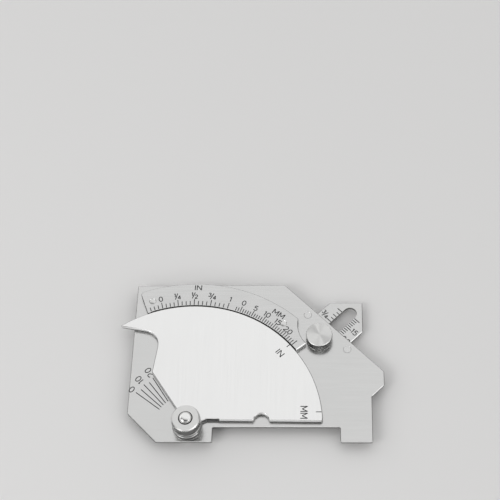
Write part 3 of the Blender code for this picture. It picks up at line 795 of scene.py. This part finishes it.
def knurled(made, radius, low, high, centre, wall_steel, rim_steel, top_steel):
    """A turned blank with a diamond knurl round its wall, and its own finish on rims and top."""
    rows = round((high - low) / KNURL_ROW) + 2
    height = rows * KNURL_ROW
    with_tree(made, knurl, {
        "Teeth": KNURL_TEETH, "Rows": rows, "Radius": radius + KNURL_FLAT, "Depth": KNURL_DEPTH + KNURL_FLAT,
        "Height": height, "Centre": (centre.x, centre.y, (low + high) / 2), "Steel": wall_steel},
        TURNED_SHARP)
    for steel in (rim_steel, top_steel):
        made.data.materials.append(steel)
    for face in made.data.polygons:
        if abs(face.normal.z) > KNURL_TILT:
            face.material_index = 2 if face.normal.z > SPUN_FACE else 1
    return made


VALLEY_DEPTH = 0.8 * KNURL_DEPTH
TIP_DEPTH = 0.1 * KNURL_DEPTH


def worn_knurl(name, centre, radius):
    """Knurled steel painted dark in its valleys, a painted shade, and lighter towards its tips."""
    made = sheet_steel(name, None, None, 0.2, spread=0.03, depth=0.0)
    tree = made.node_tree
    where = add(tree, "ShaderNodeTexCoord")
    on_axis = add(tree, "ShaderNodeMapping", Vector=where.outputs["Object"],
                  Location=(-centre.x, -centre.y, 0.0), Scale=(1.0, 1.0, 0.0))
    away = add(tree, "ShaderNodeVectorMath", {"operation": "LENGTH"}, Vector=on_axis.outputs["Vector"])
    tip = add(tree, "ShaderNodeMapRange", Value=away.outputs["Value"],
              From_Min=radius - VALLEY_DEPTH, From_Max=radius - TIP_DEPTH)
    # Painted shade: near black at the valley depth, grey steel at the tips.
    return coloured(made, tip.outputs["Result"], (0.03, 0.03, 0.03), (0.55, 0.55, 0.54))


CLAMP_SHANK = 2.0 * MM
CLAMP_DIMPLE = 0.35 * MM
DIMPLE_DEPTH = 0.07 * MM
SPUN_STRETCH = 0.92
SPUN_TURN = 0.12

low, high = node_box["clamp_screw"]
clamp = middle("clamp_screw")
clamp_radius = (high.x - low.x) / 2
clamp_low = node_box["cam_plate"][0].z
spun_steel = turned_steel("spun clamp steel", (0.78, 0.78, 0.77), (0.86, 0.86, 0.85), clamp, 0.25)
profile = [(0.0, clamp_low), (clamp_radius - RIM_CHAMFER, clamp_low), (clamp_radius, clamp_low + RIM_CHAMFER),
           (clamp_radius, high.z - RIM_CHAMFER), (clamp_radius - RIM_CHAMFER, high.z),
           (CLAMP_DIMPLE, high.z), (0.0, high.z - DIMPLE_DEPTH)]
clamp_head = turned("clamp_head_knurled", profile, clamp, steps=2 * KNURL_TEETH)
spun_face = turned_steel("spun clamp face", (0.66, 0.66, 0.65), (0.76, 0.76, 0.75), clamp, 0.42,
                         spread=0.05, per_mm=6.0, depth=0.15)
shader = spun_face.node_tree.nodes["Principled BSDF"]
shader.inputs["Anisotropic"].default_value = SPUN_STRETCH
shader.inputs["Anisotropic Rotation"].default_value = SPUN_TURN
tangent = add(spun_face.node_tree, "ShaderNodeTangent", {"direction_type": "RADIAL", "axis": "Z"})
spun_face.node_tree.links.new(tangent.outputs["Tangent"], shader.inputs["Tangent"])
knurled(clamp_head, clamp_radius, clamp_low, high.z, clamp, worn_knurl("clamp knurl", clamp, clamp_radius),
        spun_steel, spun_face)
shank = turned("clamp_shank", [
    (0.0, low.z), (CLAMP_SHANK - PIVOT_EDGE, low.z), (CLAMP_SHANK, low.z + PIVOT_EDGE),
    (CLAMP_SHANK, clamp_low + RIM_CHAMFER), (0.0, clamp_low + RIM_CHAMFER)], clamp, steps=48)
shank.data.materials.append(spun_steel)
for piece in (clamp_head, shank):
    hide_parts("clamp_screw")
    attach(piece, "clamp")


# Arc scale plate and its rivets
# A curved plate of thicker stainless sheet round the cam's rim, held to the body by two rivets and
# graduated for height in millimetres and in sixteenths of an inch.

CAM_RADIUS = 52.5 * MM
GAP_REACH = 0.38 * MM

scale_steel = sheet_steel("satin scale sheet", (0.57, 0.57, 0.565), (0.63, 0.63, 0.625), 0.24,
                          spread=0.02, depth=0.03)
arc_plate = finished("arc_scale_plate", "arc_scale_plate_satin", scale_steel, edge_steel, thick_side,
                     "gauge_body")
# The scale plate's inner wall at the gap takes the painted gap shade.
in_ring(arc_plate, CAM_RADIUS, CAM_RADIUS + GAP_REACH, gap_shade_steel)

TICK_INNER = 53.1 * MM
TICK_SHORT = 54.9 * MM
TICK_LONG = 55.75 * MM
FIGURE_CENTRE = 57.5 * MM
FIGURE_DRIFT = 0.06 * MM
HEIGHT_MM = range(-2, 26)
HEIGHT_SIXTEENTHS = range(-3, 17)
METRIC_ZERO = 69.15
INCH_ZERO = 104.0
MARK_HEIGHT = 2.3 * MM

# Where the unit marks stand from the pivot, and the way that they read
METRIC_MARK = (59.7 * MM, 54.5)
METRIC_MARK_TURN = -35.5
INCH_MARK = (61.15 * MM, 88.7)
INCH_MARK_TURN = -1.3


def height_angle(zero, height):
    """Where the cam's index stands when its beak has swung through a height."""
    return zero - math.degrees(math.asin(height / CAM_RADIUS))


strokes = []
for reading in HEIGHT_MM:
    angle = height_angle(METRIC_ZERO, reading * MM)
    strokes.append(spoke(TICK_INNER, TICK_LONG if reading % 5 == 0 else TICK_SHORT, angle))
    if reading % 5 == 0 and reading < 25:
        place = polar(FIGURE_CENTRE - FIGURE_DRIFT * reading, angle)
        strokes += lettering(str(reading), place, angle - 90.0, FIGURES)
for step in HEIGHT_SIXTEENTHS:
    angle = height_angle(INCH_ZERO, step * INCH / 16)
    strokes.append(spoke(TICK_INNER, TICK_LONG if step % 4 == 0 else TICK_SHORT, angle))
for label, step in (("0", 0), ("1/4", 4), ("1/2", 8), ("3/4", 12), ("1", 16)):
    angle = height_angle(INCH_ZERO, step * INCH / 16)
    size = FRACTIONS if "/" in label else FIGURES
    strokes += lettering(label, polar(FIGURE_CENTRE, angle), angle - 90.0, size)
strokes += lettering("MM", polar(*METRIC_MARK), METRIC_MARK_TURN, MARK_HEIGHT)
strokes += lettering("IN", polar(*INCH_MARK), INCH_MARK_TURN, MARK_HEIGHT)
scale_face = node_box["arc_scale_plate"][1].z
engraved("height_scale", strokes, scale_face, "gauge_body")

RIVET_CROWN = 0.30 * MM
RIVET_SINK = 0.45 * MM
CROWN_STEPS = 9

for node in ("scale_rivet_left", "scale_rivet_right"):
    low, high = node_box[node]
    centre = middle(node)
    wide = (high.x - low.x) / 2
    rim = high.z - RIVET_CROWN
    ball = (wide ** 2 + RIVET_CROWN ** 2) / (2 * RIVET_CROWN)
    profile = [(0.0, low.z), (wide - RIVET_SINK, low.z), (wide - RIVET_SINK, rim - RIVET_SINK), (wide, rim)]
    for i in range(1, CROWN_STEPS):
        radius = wide * (1 - i / CROWN_STEPS)
        profile.append((radius, high.z - ball + math.sqrt(ball ** 2 - radius ** 2)))
    profile.append((0.0, high.z))
    rivet = turned(node + "_bright", profile, centre, steps=48)
    rivet.data.materials.append(
        turned_steel(node + " steel", (0.62, 0.62, 0.61), (0.70, 0.70, 0.69), centre, 0.28))
    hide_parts(node)
    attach(rivet, "gauge_body")


# Cam
# A thick plate of finer ground stainless sheet that turns on the pivot. Its beak reads height, its
# straight edge reads the angle of a bevel, and its edges are buffed.

CAM_BUFF = 0.14 * MM
RIM_REACH = 0.35 * MM
RIM_PLAY = 0.1 * MM
HUB_REACH = 12.6 * MM

cam_steel = sheet_steel("fine ground cam sheet", (0.78, 0.78, 0.775), (0.82, 0.82, 0.815), 0.24,
                        turn=90.0, spread=0.03, depth=0.06)
cam_plate = finished("cam_plate", "cam_plate_satin", cam_steel, edge_steel, thick_side, "cam",
                     CAM_BUFF)
# The cam's rim at the gap takes the painted gap shade.
in_ring(cam_plate, CAM_RADIUS - RIM_REACH, CAM_RADIUS + RIM_PLAY, gap_shade_steel)
# Painted shade: the cam's sides near the pivot, under the thumb nut and washers, are painted dark.
hub_shade_steel = sheet_steel("hub side in painted shade", (0.15, 0.15, 0.145), (0.20, 0.20, 0.195), 0.34,
                        spread=0.03, depth=0.0)
in_ring(cam_plate, 0.0, HUB_REACH, hub_shade_steel, 2)

# The two index lines and the unit mark at each
INCH_INDEX = 41.35
INCH_INDEX_ENDS = (50.8 * MM, 52.35 * MM)
INCH_INDEX_MARK = (47.05 * MM, 41.0)
INCH_INDEX_HEIGHT = 2.45 * MM
METRIC_INDEX = 5.3 * MM
METRIC_INDEX_ENDS = (49.8 * MM, 51.95 * MM)
METRIC_INDEX_MARK = (45.2 * MM, 5.1 * MM)
METRIC_INDEX_HEIGHT = 2.8 * MM
METRIC_SQUEEZE = 0.82

strokes = [spoke(*INCH_INDEX_ENDS, INCH_INDEX),
           (LINE_PEN, [Vector((end, METRIC_INDEX)) for end in METRIC_INDEX_ENDS])]
strokes += lettering("IN", polar(*INCH_INDEX_MARK), INCH_INDEX - 90.0, INCH_INDEX_HEIGHT)
strokes += lettering("MM", METRIC_INDEX_MARK, -90.0, METRIC_INDEX_HEIGHT, METRIC_SQUEEZE)
engraved("cam_index_marks", strokes, node_box["cam_plate"][1].z, "cam")


# Washers and thumb nut
# A plain and a split spring washer of stainless keep the drag on the cam. The round nut above them
# is turned from bar with a diamond knurl, and runs on the pivot screw's thread.

WASHER_PLAY = 0.15 * MM
WASHER_EDGE = 0.08 * MM

washer_steel = turned_steel("bright washer steel", (0.70, 0.70, 0.69), (0.80, 0.80, 0.79), pivot, 0.25)
finished("spring_washer", "spring_washer_bright", washer_steel, washer_steel, washer_steel, "gauge_body")
low, high = node_box["plain_washer"]
outer = (high.x - low.x) / 2
inner = PIVOT_THREAD + WASHER_PLAY
profile = [(inner, low.z), (outer, low.z), (outer, high.z - WASHER_EDGE), (outer - WASHER_EDGE, high.z),
           (inner, high.z)]
plain_washer = turned("plain_washer_bright", profile, pivot, ring=True)
plain_washer.data.materials.append(washer_steel)
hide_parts("plain_washer")
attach(plain_washer, "gauge_body")

NUT_SINK = 0.04 * MM
NUT_CHAMFER = 0.65 * MM
BORE_PLAY = 0.3 * MM

low, high = node_box["thumb_nut"]
nut_radius = (high.x - low.x) / 2
nut_steel = turned_steel("turned nut steel", (0.62, 0.62, 0.61), (0.72, 0.72, 0.71), pivot, 0.36)
rim_steel = turned_steel("bright nut rim", (0.78, 0.78, 0.77), (0.86, 0.86, 0.85), pivot, 0.25)
bore = PIVOT_THREAD + BORE_PLAY
profile = [(bore, low.z), (nut_radius - RIM_CHAMFER, low.z), (nut_radius, low.z + RIM_CHAMFER),
           (nut_radius, high.z - NUT_CHAMFER), (nut_radius - NUT_CHAMFER, high.z),
           (bore + NUT_SINK, high.z), (bore, high.z - NUT_SINK)]
thumb_nut = turned("thumb_nut_knurled", profile, pivot, steps=2 * KNURL_TEETH, ring=True)
knurled(thumb_nut, nut_radius, low.z, high.z, pivot, worn_knurl("nut knurl", pivot, nut_radius),
        rim_steel, nut_steel)
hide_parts("thumb_nut")
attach(thumb_nut, "nut")
